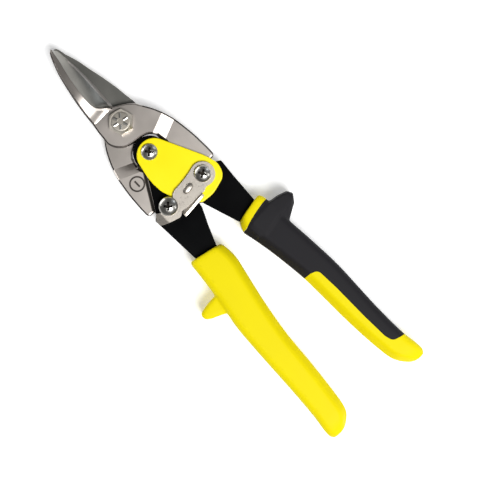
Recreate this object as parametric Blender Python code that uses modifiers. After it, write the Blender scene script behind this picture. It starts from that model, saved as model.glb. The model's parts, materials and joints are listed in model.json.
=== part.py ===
"""Aviation snips: compound-lever metal shears, closed and latched, lying on their back.

Outlines are in millimetres in a drawing frame: origin on the main pivot, +X to the blade
tips, +Y to the yellow handle, +Z towards the face that carries the latch. The whole tool
is moved at the end so that the middle of its underside is the origin.
"""
import math
import bpy
import bmesh
from mathutils import Matrix, Vector

MM = 0.001

# ---- driving dimensions (mm) ----
GAP = 0.3                   # clearance kept between neighbouring pieces
SHEAR_GAP = 0.15            # from the shear plane z = 0 to each blade's flat face
BLADE_PAD = 5.45            # blade thickness at the main pivot
TAIL_HALF = 4.0             # half thickness of the blade's tail lobe and of the frames
TONGUE_HALF = 2.1           # half thickness of the blade's tongue inside a frame
SHEET = 1.6                 # frame sheet
COVER = 1.8                 # cover plate and rear link plate
LATCH = 1.5                 # latch plate
BOLT_SHANK = 4.0            # main bolt shank radius
BOLT_AF = 12.0              # main bolt hexagon across flats
BOLT_HEAD = 4.6             # main bolt head height
BOLT_TURN = 18.0            # degrees that its hexagon is turned
SCREW_SHANK = 2.0           # pivot screw shank radius
SLEEVE = 3.1                # pivot sleeve outer radius
SCREW_HEAD = 4.4            # pan head radius
LATCH_HEAD = 5.0            # the wider pan head that the latch hooks under
SCREW_HEAD_HEIGHT = 2.6
NUT_AF = 7.0                # pivot screw nut across flats
NUT_HEIGHT = 2.6
GRIP_HALF = 10.0            # half thickness of the grips
RIDGE = 8.4                 # height of the ridge along a jaw
EAR = 8.9                   # radius of the frame ears round the handle pivot

# ---- pivots (mm) ----
P0 = (0.0, 0.0)             # blades on each other
P3 = (-21.4, 0.0)           # handles on each other
P1 = (-48.9, -12.3)         # front blade on the black handle
P2 = (-48.9, 12.3)          # back blade on the yellow handle

# ---- levels (mm), all from the sheet thicknesses ----
Z_COVER = TAIL_HALF + GAP
Z_COVER_TOP = Z_COVER + COVER
Z_LATCH = Z_COVER_TOP + GAP
Z_LATCH_TOP = Z_LATCH + LATCH
Z_PAD_TOP = SHEAR_GAP + BLADE_PAD

for old in list(bpy.data.objects):
    bpy.data.objects.remove(old, do_unlink=True)
parts = bpy.data.collections.new("aviation_snips")
cutters = bpy.data.collections.new("cutters")
bpy.context.scene.collection.children.link(parts)
bpy.context.scene.collection.children.link(cutters)

FINISH = {
    "blade_steel": ((0.42, 0.38, 0.35), 1.0, 0.36),
    "bright_steel": ((0.62, 0.61, 0.59), 1.0, 0.24),
    "latch_steel": ((0.50, 0.47, 0.44), 1.0, 0.38),
    "spring_steel": ((0.20, 0.20, 0.21), 1.0, 0.35),
    "black_paint": ((0.004, 0.004, 0.005), 0.0, 0.22),
    "yellow_paint": ((1.0, 0.89, 0.01), 0.0, 0.22),
    "yellow_plastic": ((0.97, 0.86, 0.02), 0.0, 0.35),
    "black_rubber": ((0.022, 0.021, 0.023), 0.0, 0.62),
}


def material(name, finish):
    colour, metal, rough = FINISH[finish]
    m = bpy.data.materials.new(name + "_" + finish)
    m.use_nodes = True
    m.diffuse_color = (*colour, 1.0)
    b = m.node_tree.nodes["Principled BSDF"]
    b.inputs["Base Color"].default_value = (*colour, 1.0)
    b.inputs["Metallic"].default_value = metal
    b.inputs["Roughness"].default_value = rough
    return m


# ---- modelling helpers ----
def place(name, mesh, hidden=False):
    ob = bpy.data.objects.new(name, mesh)
    (cutters if hidden else parts).objects.link(ob)
    if hidden:
        ob.hide_render = True
        ob.display_type = "WIRE"
    return ob


def meshOf(ob):
    deps = bpy.context.evaluated_depsgraph_get()
    deps.update()
    return bpy.data.meshes.new_from_object(ob.evaluated_get(deps))


def weld(mesh, flat=False):
    bm = bmesh.new()
    bm.from_mesh(mesh)
    bmesh.ops.remove_doubles(bm, verts=bm.verts, dist=1e-7)
    if flat:
        bmesh.ops.dissolve_limit(bm, angle_limit=0.001, verts=bm.verts, edges=bm.edges)
    bmesh.ops.recalc_face_normals(bm, faces=bm.faces)
    bm.to_mesh(mesh)
    bm.free()
    return mesh


def fromCurve(name, curve, hidden, flat=False):
    """A curve's evaluated surface as a welded mesh object; the curve is removed."""
    ob = bpy.data.objects.new(name + "_curve", curve)
    parts.objects.link(ob)
    mesh = weld(meshOf(ob), flat)
    mesh.name = name
    bpy.data.objects.remove(ob, do_unlink=True)
    return place(name, mesh, hidden)


def rounded(corners, step=math.radians(20)):
    """Closed outline from (x, y, radius) corners; a radius of 0 keeps the corner."""
    out = []
    n = len(corners)
    for i, c in enumerate(corners):
        p = Vector(c[:2])
        r = c[2] if len(c) > 2 else 0.0
        a = Vector(corners[i - 1][:2]) - p
        b = Vector(corners[(i + 1) % n][:2]) - p
        if r <= 0 or a.length < 1e-6 or b.length < 1e-6:
            out.append((p.x, p.y))
            continue
        turn = a.angle(b)
        reach = r / math.tan(turn / 2)
        limit = 0.49 * min(a.length, b.length)
        if reach > limit:
            reach = limit
            r = reach * math.tan(turn / 2)
        start = p + a.normalized() * reach
        end = p + b.normalized() * reach
        centre = p + (a.normalized() + b.normalized()).normalized() * (r / math.sin(turn / 2))
        a0 = math.atan2(start.y - centre.y, start.x - centre.x)
        sweep = math.atan2(end.y - centre.y, end.x - centre.x) - a0
        sweep = (sweep + math.pi) % (2 * math.pi) - math.pi
        k = max(1, int(abs(sweep) / step + 0.5))
        for j in range(k + 1):
            t = a0 + sweep * j / k
            out.append((centre.x + r * math.cos(t), centre.y + r * math.sin(t)))
    return out


def arc(centre, r, deg0, deg1, k):
    return [(centre[0] + r * math.cos(math.radians(deg0 + (deg1 - deg0) * i / k)),
             centre[1] + r * math.sin(math.radians(deg0 + (deg1 - deg0) * i / k)))
            for i in range(k + 1)]


def mirrored(outline):
    return [(p[0], -p[1]) + tuple(p[2:]) for p in reversed(outline)]


def prism(name, outline, z0, z1, hidden=False):
    """Flat outline extruded between two levels."""
    curve = bpy.data.curves.new(name, "CURVE")
    curve.dimensions = "2D"
    curve.fill_mode = "BOTH"
    curve.extrude = (z1 - z0) / 2 * MM
    spline = curve.splines.new("POLY")
    spline.points.add(len(outline) - 1)
    for point, (x, y) in zip(spline.points, outline):
        point.co = (x * MM, y * MM, 0, 1)
    spline.use_cyclic_u = True
    ob = fromCurve(name, curve, hidden, flat=True)
    ob.data.transform(Matrix.Translation((0, 0, (z0 + z1) / 2 * MM)))
    return ob


def lathe(name, profile, centre, k=28, hidden=False):
    """Turned shape about the vertical through centre; profile is a closed (r, z) loop."""
    bm = bmesh.new()
    vs = [bm.verts.new((r * MM, 0, z * MM)) for r, z in profile]
    for i, v in enumerate(vs):
        w = vs[(i + 1) % len(vs)]
        if v.co.x > 1e-9 or w.co.x > 1e-9:
            bm.edges.new((v, w))
    mesh = bpy.data.meshes.new(name)
    bm.to_mesh(mesh)
    bm.free()
    ob = place(name, mesh, hidden)
    mod = ob.modifiers.new("turn", "SCREW")
    mod.axis = "Z"
    mod.angle = 2 * math.pi
    mod.steps = mod.render_steps = k
    mod.use_merge_vertices = True
    mod.merge_threshold = 1e-6
    settle(ob)
    weld(ob.data)
    ob.data.transform(Matrix.Translation((centre[0] * MM, centre[1] * MM, 0)))
    return ob


def drill(name, centre, r, z0, z1, k=28):
    bm = bmesh.new()
    bmesh.ops.create_cone(bm, cap_ends=True, segments=k, radius1=r * MM, radius2=r * MM,
                          depth=(z1 - z0) * MM,
                          matrix=Matrix.Translation((centre[0] * MM, centre[1] * MM, (z0 + z1) / 2 * MM)))
    mesh = bpy.data.meshes.new(name)
    bm.to_mesh(mesh)
    bm.free()
    return place(name, mesh, hidden=True)


def loft(name, sections, hidden=False):
    """Closed tube through equal-length loops of points, capped at both ends."""
    n = len(sections[0])
    verts = [p for s in sections for p in s]
    faces = [list(range(n))[::-1], [(len(sections) - 1) * n + i for i in range(n)]]
    for a in range(len(sections) - 1):
        faces += [[a * n + i, a * n + (i + 1) % n, (a + 1) * n + (i + 1) % n, (a + 1) * n + i]
                  for i in range(n)]
    mesh = bpy.data.meshes.new(name)
    mesh.from_pydata([(x * MM, y * MM, z * MM) for x, y, z in verts], [], faces)
    return place(name, weld(mesh), hidden)


def hull(name, points, hidden=False):
    bm = bmesh.new()
    for p in points:
        bm.verts.new([c * MM for c in p])
    res = bmesh.ops.convex_hull(bm, input=bm.verts)
    bmesh.ops.delete(bm, geom=[g for g in res["geom_interior"] if isinstance(g, bmesh.types.BMVert)],
                     context="VERTS")
    bmesh.ops.dissolve_limit(bm, angle_limit=0.01, verts=bm.verts, edges=bm.edges)
    bmesh.ops.recalc_face_normals(bm, faces=bm.faces)
    mesh = bpy.data.meshes.new(name)
    bm.to_mesh(mesh)
    bm.free()
    return place(name, mesh, hidden)


def settle(ob):
    ob_mesh = meshOf(ob)
    ob.modifiers.clear()
    ob.data = ob_mesh
    return ob


def combine(ob, others, how):
    for other in others:
        mod = ob.modifiers.new(how.lower(), "BOOLEAN")
        mod.operation = how
        mod.solver = "EXACT"
        mod.use_self = how == "UNION"
        mod.object = other
        settle(ob)
        if how != "DIFFERENCE" and other.name in parts.objects:
            bpy.data.objects.remove(other, do_unlink=True)
    bm = bmesh.new()
    bm.from_mesh(ob.data)
    bmesh.ops.remove_doubles(bm, verts=bm.verts, dist=2e-6)
    bmesh.ops.dissolve_degenerate(bm, edges=bm.edges, dist=1e-7)
    bm.to_mesh(ob.data)
    bm.free()
    return ob


def ease(ob, width, segments=2, angle=35):
    """Round the sharp edges."""
    mod = ob.modifiers.new("ease", "BEVEL")
    mod.width = width * MM
    mod.segments = segments
    mod.limit_method = "ANGLE"
    mod.angle_limit = math.radians(angle)
    mod.use_clamp_overlap = True
    mod.miter_outer = "MITER_SHARP"
    return settle(ob)


def finish(ob, look, sharp=32):
    ob.data.materials.clear()
    ob.data.materials.append(material(ob.name, look))
    for poly in ob.data.polygons:
        poly.use_smooth = True
        poly.material_index = 0
    ob.data.set_sharp_from_angle(angle=math.radians(sharp))
    return ob


# ---- blades: one part, used twice, the second turned over about the long axis ----
def lerp(table, x):
    table = sorted(table)
    if x <= table[0][0]:
        return table[0][1]
    for (x0, y0), (x1, y1) in zip(table, table[1:]):
        if x <= x1:
            return y0 + (y1 - y0) * (x - x0) / (x1 - x0)
    return table[-1][1]


JAW_OUTER = [(0, 12.6), (5, 12.4), (10, 11.9), (15, 11.4), (20, 10.7), (30, 9.1), (40, 7.0), (45, 5.3),
             (50, 3.2), (52.2, 1.9), (53.1, 0.5)]
JAW_EDGE = [(0, -1.2), (6, -1.8), (12, -2.6), (25, -3.1), (35, -3.0), (45, -2.1), (50, -1.7), (52.2, -0.9),
            (53.1, 0.1)]
JAW_RIDGE = [(0, 1.2), (10, 3.0), (14.6, 4.6), (17.5, 5.3), (25, 5.2), (30, 4.5), (35, 3.8), (40, 2.8),
             (46, 1.6), (50, 0.8), (53.1, 0.3)]
JAW_TOP = [(0, RIDGE - 2.2), (13, RIDGE - 2.1), (15, RIDGE - 1.8), (22, RIDGE - 0.1), (26, RIDGE),
           (35, RIDGE - 1.1),
           (45, RIDGE - 2.8), (50, RIDGE - 4.4), (53.1, RIDGE - 6.0)]

TAIL_OUTER = [(-4, -16.0), (-10, -19.0), (-15, -20.8), (-20, -22.0), (-30, -23.4), (-40, -23.95),
              (-44.4, -24.0), (-45.4, -23.2), (-45.6, -20.0)]


def jawSection(x, slim):
    outer, edge, ridge, top = (lerp(t, x) for t in (JAW_OUTER, JAW_EDGE, JAW_RIDGE, JAW_TOP))
    outer -= slim * min(1.0, max(0.0, (x - 8) / 25)) * min(1.0, max(0.0, (53.1 - x) / 6))
    base = SHEAR_GAP
    land = 0.06 * (top - base)
    pts = [(edge, base), (edge + 0.05, base + land)]
    for t in (0.14, 0.3, 0.5, 0.7, 0.88):
        pts.append((edge + t * (ridge - edge), base + land + (t ** 1.5) * (top - base - land)))
    pts.append((ridge, top))
    wide = outer - ridge
    for t, h in ((0.12, 0.02), (0.5, 0.13), (0.86, 0.27), (1.0, 0.42)):
        pts.append((ridge + t * wide, top - h * (top - base)))
    pts.append((outer, base))
    return [(x, y, z) for y, z in pts]


def blade(name, slim):
    # flat body: pad round the pivot, shoulder to the tail, side profile with the joggle
    outline = [(10.2, 0.5), (11.5, 3), (11.0, 11.6), (5, 12.4), (0, 12.6), (-4, 12.9), (-8.5, 10.0),
               (-11.0, 6.5),
               (-11.9, 1.0), (-12.5, -3.0), (-14.0, -6.5), (-17.0, -9.1)]
    outline += arc(P3, 10.4, 265, 240, 3)
    outline += [(-34, -9.8), (-42, -5.6)] + arc(P1, 7.6, 60, 250, 12)
    outline += [(-46.6, -19.7)] + TAIL_OUTER[::-1] + [(0, -13.6), (2.9, -11.7), (6.2, -7.5), (10.2, -0.4)]
    body = prism(name, outline, -20, 20)
    run = Vector((4.0, -9.5)).normalized()           # direction of the joggle across the tail
    across = Vector((-run.y, run.x))
    side = [(60, SHEAR_GAP), (60, Z_PAD_TOP), (-17.2, Z_PAD_TOP), (-24.4, TAIL_HALF), (-90, TAIL_HALF),
            (-90, -TAIL_HALF), (-27.5, -TAIL_HALF), (-21.3, SHEAR_GAP)]
    sections = []
    for s in (-80, 80):
        sections.append([(across.x * u + run.x * s, across.y * u + run.y * s, z) for u, z in side])
    combine(body, [loft(name + "_side", sections, hidden=True)], "INTERSECT")
    # thin the tongue that runs between the frame plates
    keep = [(-17.2, -9.4)] + arc(P3, 10.6, 262, 240, 2)
    tongueArea = keep + [(-30, -10.8), (-45.2, -19.2), (-45.75, -19.8), (-45.75, -30), (-75, -30),
                         (-75, 10),
                         (-17.2, 10)]
    top = prism(name + "_above_tongue", tongueArea, TONGUE_HALF, 20, hidden=True)
    low = prism(name + "_below_tongue", tongueArea, -20, -TONGUE_HALF, hidden=True)
    combine(body, [top, low], "DIFFERENCE")
    # raised, hollow-ground jaw
    stations = [9.6, 12, 14.6, 17.5, 21, 25, 30, 35, 40, 44, 47, 50, 51.4, 52.4, 53.0]
    jaw = loft(name + "_jaw", [jawSection(x, slim) for x in stations])
    slope = hull(name + "_step", [(9.0, -9, Z_PAD_TOP - 0.4), (9.0, 16, Z_PAD_TOP - 0.4), (9.0, -9, 20),
                                  (9.0, 16, 20), (11.4, 16, 20), (11.4, -9, 20)], hidden=True)
    combine(jaw, [slope], "DIFFERENCE")
    combine(body, [jaw], "UNION")
    return body


front = blade("front_blade", 0.0)
combine(front, [drill("bore_front", P0, BOLT_SHANK + GAP / 2, -20, 20),
                drill("bore_tail", P1, SLEEVE + GAP / 2, -20, 20)], "DIFFERENCE")
back = blade("back_blade", 1.4)      # the lower jaw is a little narrower
combine(back, [drill("bore_back", P0, BOLT_SHANK + 0.7, -20, 20),
               drill("bore_tail_back", P1, SLEEVE + GAP / 2, -20, 20)], "DIFFERENCE")
back.data.transform(Matrix.Rotation(math.pi, 4, "X"))
STAMP = (-28.85, 16.2)
ringCut = lathe("stamp_ring", [(3.2, TAIL_HALF - 0.15), (3.8, TAIL_HALF - 0.15), (3.8, TAIL_HALF + 1),
                               (3.2, TAIL_HALF + 1)], STAMP, 32, hidden=True)
barCut = prism("stamp_bar", [(STAMP[0] - 2.0, STAMP[1] - 0.3), (STAMP[0] + 2.0, STAMP[1] - 0.3),
                             (STAMP[0] + 2.0, STAMP[1] + 0.3), (STAMP[0] - 2.0, STAMP[1] + 0.3)],
               TAIL_HALF - 0.15, TAIL_HALF + 1, hidden=True)
combine(back, [ringCut, barCut], "DIFFERENCE")
finish(front, "blade_steel", 25)
finish(back, "blade_steel", 25)


# ---- handle frames: pressed channels, open towards the gap between the handles ----
def frame(name, upper, plateOutline, outerWall):
    """upper is +1 for the yellow handle side; outlines are drawn for it and mirrored."""
    shape = plateOutline if upper > 0 else mirrored(plateOutline)
    ob = prism(name, rounded(shape), -TAIL_HALF, TAIL_HALF)
    ease(ob, 0.35, 1, 60)
    wall = [(x, y - SHEET) for x, y in outerWall]
    hollow = [(-220, wall[0][1])] + wall + [(20, wall[-1][1]), (20, -60), (-220, -60)]
    if upper < 0:
        hollow = mirrored(hollow)
    inner = prism(name + "_hollow", hollow, -TAIL_HALF + SHEET, TAIL_HALF - SHEET, hidden=True)
    combine(ob, [inner], "DIFFERENCE")
    return ob


leftWall = [(-150, 23.6), (-79, 20.9), (-55, 22.3), (-47, 22.9)]
rightWall = [(-150, 23.6), (-79, 22.6), (-60, 23.5), (-47, 24.6)]
leftOutline = [(-150, 23.6, 1.5), (-79, 20.9, 0), (-55, 22.3, 0), (-49.6, 22.7, 1.2),
               (-47.4, 19.9, 1.0), (-30.5, 9.9, 3)]
leftOutline += [(p[0], p[1], 0) for p in arc(P3, EAR, 118, -112, 18)]
leftOutline += [(-41, -3.7, 0), (-61, -0.1, 2), (-70, 4, 0), (-80, 8, 3), (-100, 11.5, 0),
                (-150, 18.4, 1.5)]
rightOutline = [(-150, 23.6, 1.5), (-79, 22.6, 0), (-60, 23.5, 0), (-50.0, 24.3, 1.2),
                (-47.6, 20.2, 1.0), (-38.5, 14.9, 2),
                (-37.2, 9.6, 2.5), (-42, 5.6, 3), (-60, 2.1, 0), (-70, 5.5, 0), (-80, 9, 3),
                (-100, 14.6, 0),
                (-150, 18.4, 1.5)]
leftFrame = frame("left_frame", 1, leftOutline, leftWall)
rightFrame = frame("right_frame", -1, rightOutline, rightWall)
combine(leftFrame, [drill("bore_ear", P3, SLEEVE + GAP / 2, -20, 20),
                    drill("bore_left", P2, SCREW_SHANK + GAP / 2, -20, 20)], "DIFFERENCE")
combine(rightFrame, [drill("bore_right", P1, SCREW_SHANK + GAP / 2, -20, 20)], "DIFFERENCE")
finish(leftFrame, "black_paint", 30)
finish(rightFrame, "black_paint", 30)

# ---- cover plate on the front, link plate on the back: they carry the handle pivot ----
coverOutline = rounded([(x, y, 0) for x, y in arc((-24.3, -0.6), 9.2, 86, -66, 14)]
                       + [(-43.0, -20.1, 22), (-50, -22.2, 9), (-57, -20.0, 9), (-60.1, -9.5, 14),
                          (-59.4, -1.5, 3),
                          (-52.5, 2.2, 4), (-46.2, 7.9, 3), (-40, 9.8, 12), (-35, 10.15, 0),
                          (-30, 9.85, 0), (-26.5, 9.2, 0)])
cover = prism("cover_plate", coverOutline, Z_COVER, Z_COVER_TOP)
ease(cover, 0.5, 2, 40)
link = prism("rear_link_plate", coverOutline, -Z_COVER_TOP, -Z_COVER)
ease(link, 0.35, 1, 40)
for ob, tag in ((cover, "cover"), (link, "link")):
    combine(ob, [drill(tag + "_bore_3", P3, SCREW_SHANK + GAP / 2, -20, 20),
                 drill(tag + "_bore_1", P1, SCREW_SHANK + GAP / 2, -20, 20)], "DIFFERENCE")
finish(cover, "yellow_paint")
finish(link, "black_paint")

# ---- latch: pivots on the black handle's screw, hooks under the other screw's head ----
hookRim = math.hypot(P2[0] - P3[0], P2[1] - P3[1]) + SCREW_SHANK + 0.35
latchOutline = arc(P1, 6.5, 150, 372, 16)
latchOutline += rounded([(-43.5, -6.5, 0), (-44.5, -1.5, 4), (-44.9, 4.0, 4), (-47.2, 7.6, 3)])
toRim = [(P3[0] + hookRim * math.cos(math.radians(a)), P3[1] + hookRim * math.sin(math.radians(a)))
         for a in (163.5, 160.5, 157.5, 154.5, 151.5, 148.5, 145.5, 143.2)]
latchOutline += toRim
latchOutline += rounded([(-47.6, 20.2, 0.5), (-50.6, 22.6, 1.5), (-53.5, 22.1, 2.0), (-55.4, 18.0, 3),
                         (-57.4, 11.5, 3),
                         (-56.0, 9.6, 0.3), (-55.8, -6.5, 0.5), (-55.5, -10.0, 0.5)])
latch = prism("latch", latchOutline, Z_LATCH, Z_LATCH_TOP)
ease(latch, 0.25, 1, 50)
tab = hull("latch_tab", [(-55.6, -5.2, Z_LATCH + 0.05), (-55.9, 9.3, Z_LATCH + 0.05),
                         (-57.2, -4.8, Z_LATCH + 0.05),
                         (-58.0, 9.3, Z_LATCH + 0.05), (-56.9, -4.4, Z_LATCH_TOP + 3.2),
                         (-58.3, 8.6, Z_LATCH_TOP + 3.2), (-55.9, -4.4, Z_LATCH_TOP + 3.2),
                         (-57.0, 8.6, Z_LATCH_TOP + 3.2)])
combine(latch, [tab], "UNION")
combine(latch, [drill("bore_latch", P1, SLEEVE + GAP / 2, -20, 20)], "DIFFERENCE")
bump = lathe("latch_bump", [(0, Z_LATCH + 0.4), (1.6, Z_LATCH + 0.4), (1.6, Z_LATCH_TOP + 0.05),
                            (1.1, Z_LATCH_TOP + 0.45), (0.5, Z_LATCH_TOP + 0.6),
                            (0, Z_LATCH_TOP + 0.62)], (0, 0), 24)
bump.data.transform(Matrix.Translation((-49.0 * MM, -1.5 * MM, 0))
                    @ Matrix.Rotation(math.radians(8), 4, "Z")
                    @ Matrix.Diagonal((1.0, 1.9, 1.0, 1.0)))
combine(latch, [bump], "UNION")
finish(latch, "latch_steel", 30)


# ---- fasteners ----
def tube(name, centre, r0, r1, z0, z1, look, k=28, chamfer=0.25):
    c = min(chamfer, 0.3 * (z1 - z0), 0.3 * (r1 - r0))
    ob = lathe(name, [(r0, z0), (r1 - c, z0), (r1, z0 + c), (r1, z1 - c), (r1 - c, z1), (r0, z1)],
               centre, k)
    return finish(ob, look)


def screw(name, centre, zHead, zEnd, headRadius, shank, look="bright_steel"):
    top = zHead + SCREW_HEAD_HEIGHT
    h = headRadius
    profile = [(0, zEnd), (shank - 0.4, zEnd), (shank, zEnd + 0.4), (shank, zHead), (h - 0.15, zHead),
               (h, zHead + 0.2), (h, zHead + 0.7), (h * 0.93, zHead + 1.45), (h * 0.75, top - 0.45),
               (h * 0.5, top - 0.12),
               (0, top)]
    ob = lathe(name, profile, centre, 28)
    cutters2 = []
    for k in range(2):
        arm = hull(name + "_arm%d" % k,
                   [(sx * 1.75, sy * 0.42, top + 0.5) for sx in (-1, 1) for sy in (-1, 1)]
                   + [(sx * 1.0, sy * 0.25, top - 1.45) for sx in (-1, 1) for sy in (-1, 1)], hidden=True)
        arm.data.transform(Matrix.Translation((centre[0] * MM, centre[1] * MM, 0))
                           @ Matrix.Rotation(math.radians(20 + 90 * k), 4, "Z"))
        cutters2.append(arm)
    combine(ob, cutters2, "DIFFERENCE")
    return finish(ob, look, 25)


def hexNut(name, centre, af, r0, z0, z1, look="bright_steel", turn=0.0):
    ac = af / math.cos(math.pi / 6)
    sections = []
    for z, grow in ((z0, 0.93), (z0 + 0.45, 1.0), (z1 - 0.45, 1.0), (z1, 0.93)):
        sections.append([(centre[0] + grow * ac / 2 * math.cos(math.radians(60 * i + turn)),
                          centre[1] + grow * ac / 2 * math.sin(math.radians(60 * i + turn)),
                          z) for i in range(6)])
    ob = loft(name, sections)
    combine(ob, [drill(name + "_bore", centre, r0, z0 - 1, z1 + 1)], "DIFFERENCE")
    return finish(ob, look, 25)


# main pivot
Z_BOLT = Z_PAD_TOP + GAP
Z_LOW = -Z_PAD_TOP
boltEnd = -(GRIP_HALF - 0.1)
ac = BOLT_AF / math.cos(math.pi / 6)
bolt = prism("main_bolt", [(ac / 2 * math.cos(math.radians(60 * i + BOLT_TURN)),
                            ac / 2 * math.sin(math.radians(60 * i + BOLT_TURN)))
                           for i in range(6)], Z_BOLT, Z_BOLT + BOLT_HEAD)
top = Z_BOLT + BOLT_HEAD
combine(bolt, [lathe("main_bolt_dome", [(0, Z_BOLT - 1), (ac, Z_BOLT - 1), (ac, top - 1.75), (4.85, top),
                                        (0, top)], P0, 36, hidden=True)], "INTERSECT")
combine(bolt,
        [lathe("main_bolt_shank", [(0, boltEnd), (BOLT_SHANK - 0.5, boltEnd), (BOLT_SHANK, boltEnd + 0.5),
                                         (BOLT_SHANK, Z_BOLT + 0.8), (0, Z_BOLT + 0.8)], P0, 28)], "UNION")
finish(bolt, "bright_steel", 25)
nutTop = Z_LOW - GAP - 0.8 - GAP
tube("main_washer", P0, BOLT_SHANK + 0.25, 7.4, nutTop + GAP, Z_LOW - GAP, "bright_steel", 32)
hexNut("main_nut", P0, BOLT_AF, BOLT_SHANK + 0.12, boltEnd + 0.5, nutTop, turn=5)

# handle pivot P3
screw("handle_screw", P3, Z_COVER_TOP + GAP, -(Z_COVER_TOP + GAP + NUT_HEIGHT + 0.3), SCREW_HEAD,
      SCREW_SHANK)
tube("handle_sleeve", P3, SCREW_SHANK + 0.15, SLEEVE, -TAIL_HALF - 0.1, TAIL_HALF + 0.1, "spring_steel")
hexNut("handle_nut", P3, NUT_AF, SCREW_SHANK + 0.12, -(Z_COVER_TOP + GAP + NUT_HEIGHT),
       -(Z_COVER_TOP + GAP), turn=20)

# black handle's blade pivot P1
screw("front_tail_screw", P1, Z_LATCH_TOP + 2 * GAP + 0.5, -(Z_COVER_TOP + GAP + NUT_HEIGHT + 0.3),
      SCREW_HEAD, SCREW_SHANK)
tube("front_tail_sleeve", P1, SCREW_SHANK + 0.15, SLEEVE, -(TAIL_HALF - SHEET) + 0.1,
     TAIL_HALF - SHEET - 0.1, "spring_steel")
tube("latch_bush", P1, SCREW_SHANK + 0.15, SLEEVE, Z_COVER_TOP + 0.1, Z_LATCH_TOP + 0.1, "bright_steel")
tube("latch_washer", P1, SCREW_SHANK + 0.15, SCREW_HEAD - 0.1, Z_LATCH_TOP + GAP,
     Z_LATCH_TOP + GAP + 0.5, "spring_steel")
hexNut("front_tail_nut", P1, NUT_AF, SCREW_SHANK + 0.12, -(Z_COVER_TOP + GAP + NUT_HEIGHT),
       -(Z_COVER_TOP + GAP), turn=-8)

# yellow handle's blade pivot P2
screw("back_tail_screw", P2, Z_LATCH_TOP + GAP, -(TAIL_HALF + GAP + NUT_HEIGHT + 0.3), LATCH_HEAD,
      SCREW_SHANK)
tube("back_tail_sleeve", P2, SCREW_SHANK + 0.15, SLEEVE, -(TAIL_HALF - SHEET) + 0.1,
     TAIL_HALF - SHEET - 0.1, "spring_steel")
tube("latch_spacer", P2, SCREW_SHANK + 0.15, 4.2, TAIL_HALF + 0.15, Z_COVER_TOP, "bright_steel")
hexNut("back_tail_nut", P2, NUT_AF, SCREW_SHANK + 0.12, -(TAIL_HALF + GAP + NUT_HEIGHT),
       -(TAIL_HALF + GAP), turn=12)


# ---- return spring round the handle pivot's sleeve ----
def wire(name, points, r):
    curve = bpy.data.curves.new(name, "CURVE")
    curve.dimensions = "3D"
    curve.bevel_depth = r * MM
    curve.bevel_resolution = 1
    curve.use_fill_caps = True
    spline = curve.splines.new("POLY")
    spline.points.add(len(points) - 1)
    for point, (x, y, z) in zip(spline.points, points):
        point.co = (x * MM, y * MM, z * MM, 1)
    return finish(fromCurve(name, curve, hidden=False), "spring_steel", 50)


COIL, WIRE = SLEEVE + 1.2, 0.55
COIL_HALF = TAIL_HALF - 2.45
turns = 850 / 360           # from 40 degrees, clockwise, to leave towards the grips
coil = []
for i in range(46):
    t = math.radians(40) - 2 * math.pi * turns * i / 45
    coil.append((P3[0] + COIL * math.cos(t), P3[1] + COIL * math.sin(t), COIL_HALF * (2 * i / 45 - 1)))
coil.append((P3[0] - 6, -COIL - 0.15, COIL_HALF + 0.05))
coil.append((-42.5, -COIL + 1.9, 0.9))
wire("return_spring", coil, WIRE)
wire("return_spring_leg", [(P3[0] - 1.4, COIL + 0.05, -COIL_HALF - 0.11),
                           (P3[0] - 6, COIL + 0.3, -COIL_HALF - 0.05), (-42.5, COIL - 1.9, -0.9)], WIRE)


# ---- grips ----
def section(x, outer, inner, half, skew, grow=0.0, inset=0.0):
    """Loop round a grip: flat front and back, rounded outer side, chamfered inner side."""
    o, i, h = outer - inset, inner + inset, half - inset
    sign = 1 if outer > inner else -1
    if sign < 0:
        o, i = outer + inset, inner - inset
    wide = abs(o - i)
    r = min(4.5, 0.45 * wide, 0.7 * h)
    c = min(3.6, 0.3 * wide, 0.5 * h)
    pts = []
    for a in (0, 22.5, 45, 67.5, 90):
        t = math.radians(a)
        pts.append((o - sign * r * (1 - math.cos(t)), h - r * (1 - math.sin(t))))
    pts += [(i + sign * c * 1.15, h), (i + sign * c * 0.7, h - c * 0.22),
            (i + sign * c * 0.22, h - c * 0.8), (i, h - c * 1.3)]
    pts += [(y, -z) for y, z in reversed(pts)]
    mid = (outer + inner) / 2
    return [(x + skew * (y - mid), y, z) for y, z in pts]


LEFT_OUT = [(-197, 32.0), (-194, 34.0), (-180, 32.5), (-160, 31.5), (-140, 31.0), (-120, 30.0),
            (-100, 26.8), (-90, 25.4),
            (-79, 24.5)]
LEFT_IN = [(-197, 27.5), (-195, 23.0), (-190, 18.3), (-180, 16.5), (-160, 14.5), (-140, 13.3),
           (-120, 10.5), (-100, 6.5),
           (-90, 5.0), (-80, 5.6)]
RIGHT_OUT = [(-197, -31.0), (-194, -33.0), (-180, -31.2), (-160, -30.5), (-130, -31.0), (-110, -29.6),
             (-100, -28.6),
             (-82, -27.4), (-79, -26.6)]
RIGHT_IN = [(-197, -28.0), (-195, -23.5), (-188, -18.0), (-180, -16.5), (-160, -14.5), (-140, -13.9),
            (-125, -13.4),
            (-110, -11.5), (-100, -10.0), (-87, -7.4), (-84, -6.6), (-80, -8.2)]


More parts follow.
